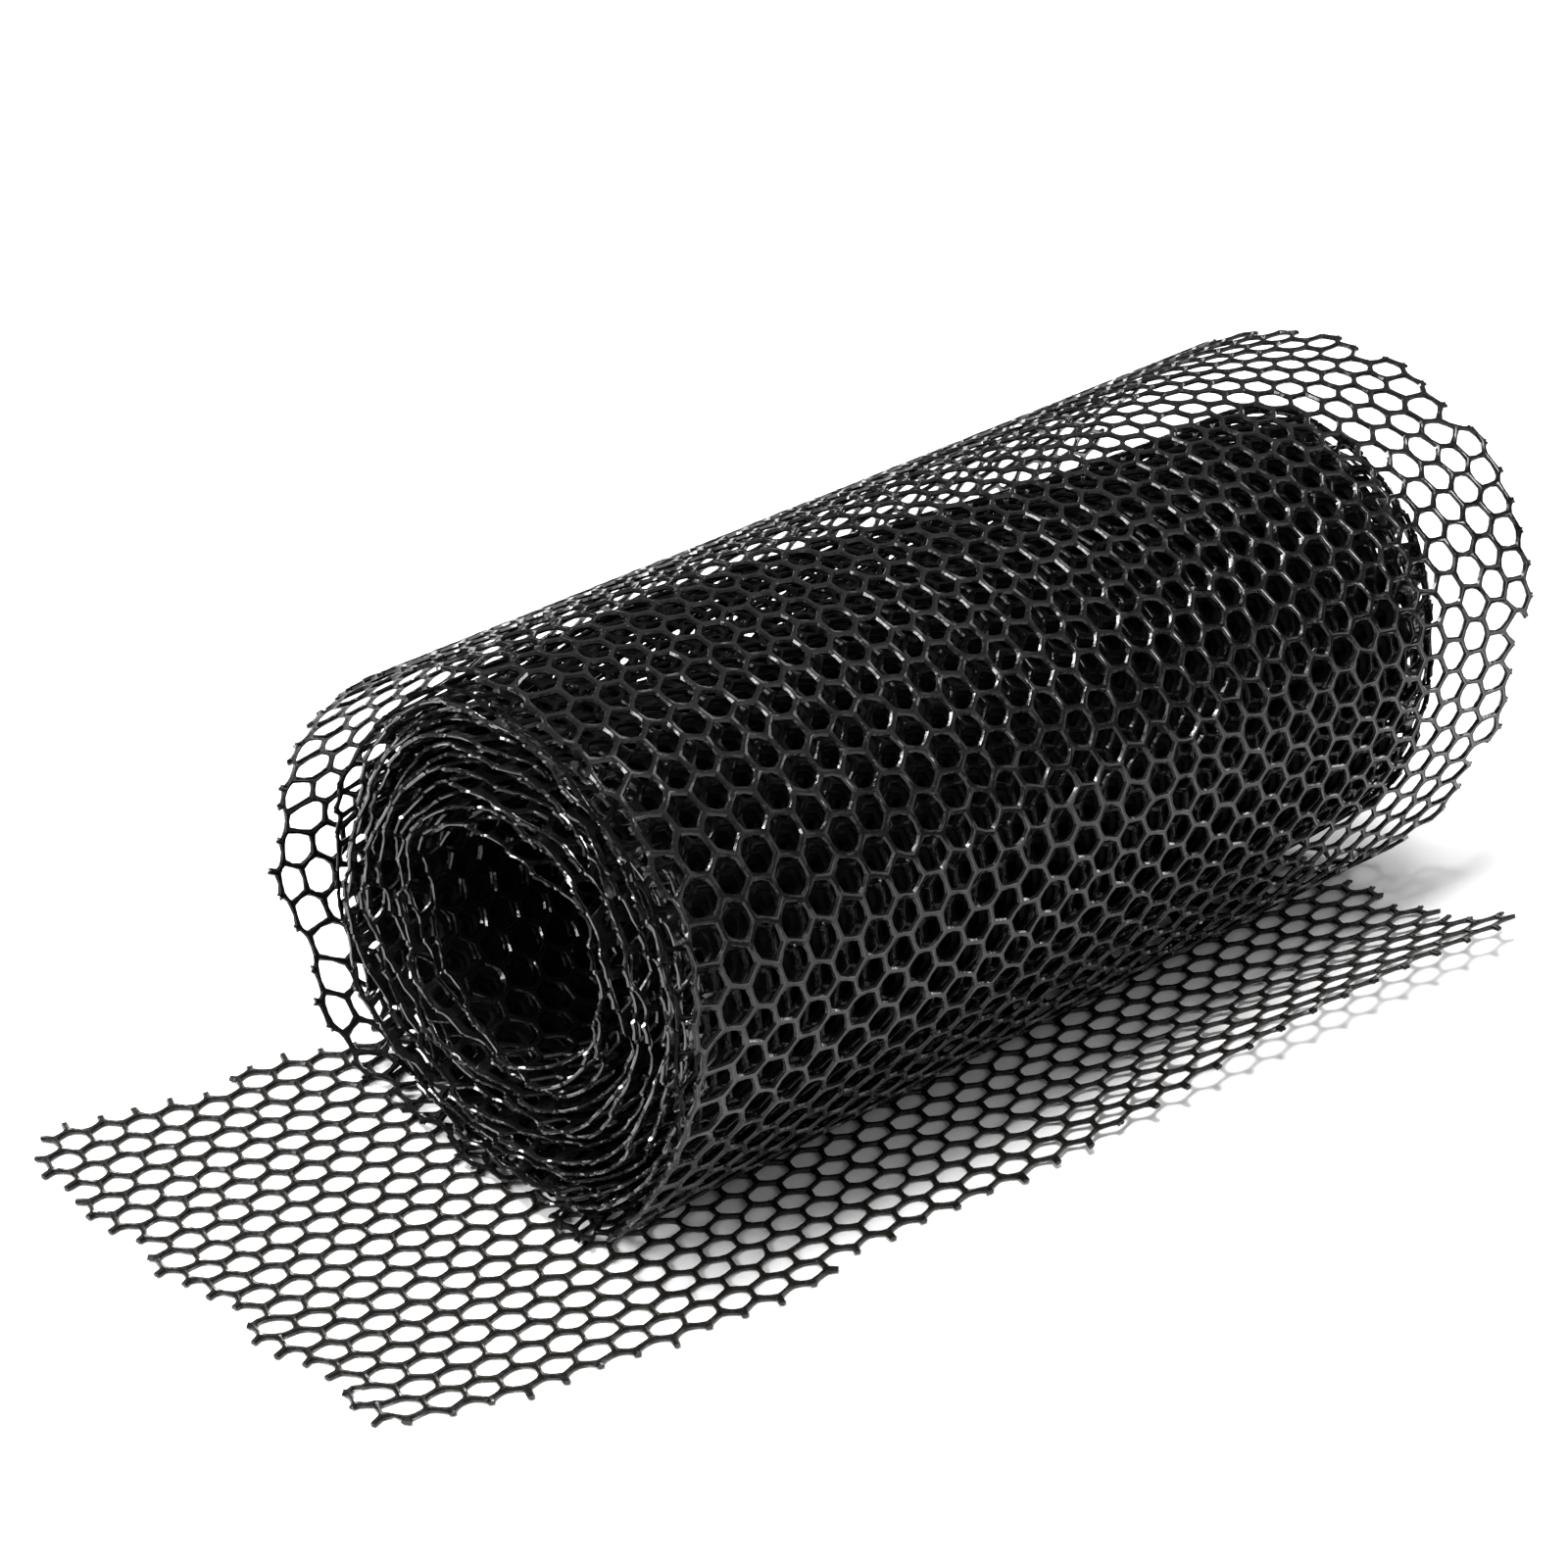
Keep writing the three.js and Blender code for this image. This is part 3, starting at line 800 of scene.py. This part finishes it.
def pressed_flat(x, arc):
    """How far the strands are pressed flat: 0 in the turns that are seen, 1 deep in the roll.

    The second turn is pressed too where it closes the roll: along its lower edge, at its far
    end and at the back of its near end. Strands at the web's two edges keep their width.
    """
    near, far = roll_edges(arc)
    from_edges = ramp(x - near, 1.5, 7.5) * ramp(far - x, 0, 8)
    in_second = arc - FIRST_TURN
    from_far_face = ROLL_LENGTH - x
    lower = ramp(in_second, -60, 40) * ramp(in_second, 170, 90) * ramp(x - near, 12, 24)
    far_end = ramp(in_second, -60, 40) * ramp(from_far_face, 60, 30)
    back_of_near_end = ramp(in_second, 180, 240) * ramp(x, 70, 40)
    second = np.maximum(np.maximum(0.5 * lower, 0.8 * far_end), 0.9 * back_of_near_end)
    first_inside = lerp(2.4, 1.9, ramp(from_far_face, 110, 50)) * FIRST_TURN
    inside = ramp(arc - first_inside, 0, 200)
    return from_edges * np.maximum(second, inside)


def in_or_next_to(piece, x, arc):
    """Whether a cell is in a piece of the web or next to it."""
    near = np.zeros(len(x), bool)
    for step_x in (-1.5 * PITCH, 0, 1.5 * PITCH):
        for step_arc in (-1.5 * PITCH, 0, 1.5 * PITCH):
            near |= piece_number(x + step_x, arc + step_arc) == piece
    return near & (x > -3 * PITCH) & (x < ROLL_LENGTH + 3 * PITCH)


def build_roll():
    """The wound roll: one spiral web, in meshes that share no strand."""
    last_row = ROLL_ARC[-1] / PITCH / ROW
    cells = cells_between(rows=(-8, last_row + 8), across=(-90, 120))
    x, arc = roll_xs(cells[:, 0] + cells[:, 1] / 2, cells[:, 1].astype(float))
    things = []
    for k, (name, sides, rings, plastic) in enumerate(ROLL_PIECES):
        here = in_or_next_to(k, x, arc)
        width = lerp(RIM_WIDTH, STRAND_WIDTH, from_near_rim(x[here], arc[here]))
        if name != "inner_turns":
            width = lerp(width, WIDEST_INSIDE, pressed_flat(x[here], arc[here]))
        points, faces = netting(cells[here], roll_place, roll_part(k), seed=21 + k, sides=sides,
                                rings=rings, stub=0, rim=roll_rim, width=width)
        thing = add_mesh(f"wound_{name}", points, faces, plastic)
        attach(thing, "root")
        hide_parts("wound_roll")
        things.append(thing)
    return things


laid = build_laid()
loose = build_loose()
roll = build_roll()


# ---- floor, light and camera ----
def build_floor():
    """The floor lies a hair below the part, and is pale paper as far as the camera sees."""
    bpy.ops.mesh.primitive_plane_add(size=60, location=(0, 0, -0.0002))
    floor = bpy.context.object
    floor.name = "floor"
    floor.data.materials.append(floor_paper())


def build_world():
    """A pale studio, dimmer towards the horizon."""
    world = bpy.data.worlds.new("studio")
    bpy.context.scene.world = world
    world.use_nodes = True
    nodes, links = world.node_tree.nodes, world.node_tree.links
    place = nodes.new("ShaderNodeTexCoord")
    height = nodes.new("ShaderNodeSeparateXYZ")
    links.new(place.outputs["Generated"], height.inputs["Vector"])
    level = add_range(nodes, links, height.outputs["Z"], (0.15, 0.9), (0.05, 0.62))
    background = nodes["Background"]
    background.inputs["Color"].default_value = (1, 1, 1, 1)
    links.new(level, background.inputs["Strength"])


def add_lamp(name, data, direction):
    """A lamp that shines in a direction."""
    lamp = bpy.data.objects.new(name, data)
    lamp.rotation_euler = direction.to_track_quat("-Z", "Y").to_euler()
    bpy.context.scene.collection.objects.link(lamp)
    return lamp


def soft_box(name, place, aim, size, power):
    """A lit rectangle: metres and watts."""
    data = bpy.data.lights.new(name, "AREA")
    data.shape = "RECTANGLE"
    data.size, data.size_y = size
    data.energy = power
    add_lamp(name, data, Vector(aim) - Vector(place)).location = place


def build_sun():
    """A distant lamp, for even light over the whole floor and for glints."""
    data = bpy.data.lights.new("distant", "SUN")
    data.energy = 2.5
    data.angle = math.radians(11)
    add_lamp("distant", data, -Vector((-0.2, -0.07, 0.98)))


def build_camera():
    """The camera looks down at the roll, between its near face and its front."""
    data = bpy.data.cameras.new("camera")
    data.lens = 85.5
    data.sensor_width = 36
    camera = bpy.data.objects.new("camera", data)
    camera.location = (-0.7428, -0.7419, 0.6456)
    pitch_down, heading = 27.946, 46.184
    camera.rotation_euler = (math.radians(90 - pitch_down), 0, math.radians(heading - 90))
    bpy.context.scene.collection.objects.link(camera)
    bpy.context.scene.camera = camera


build_floor()
build_world()
build_sun()
soft_box("overhead", place=(0.0, -0.08, 1.4), aim=(0.0, -0.08, 0), size=(1.4, 0.35), power=9)
soft_box("left box", place=(-1.1, 0.1, 0.7), aim=(-0.1, 0, 0.08), size=(0.45, 0.3), power=14)
soft_box("front box", place=(0.35, -1.1, 0.9), aim=(0.0, -0.1, 0.0), size=(1.0, 0.5), power=2)
soft_box("back box", place=(-0.25, 0.9, 1.2), aim=(-0.1, 0, 0.12), size=(0.35, 0.35), power=24)
soft_box("right box", place=(1.2, -0.2, 0.45), aim=(0, 0, 0.08), size=(0.3, 0.25), power=3)
build_camera()
bpy.context.scene.view_settings.view_transform = "Standard"

for thing in [laid, loose, *roll]:
    print(thing.name, sum(len(p.vertices) - 2 for p in thing.data.polygons), "triangles")
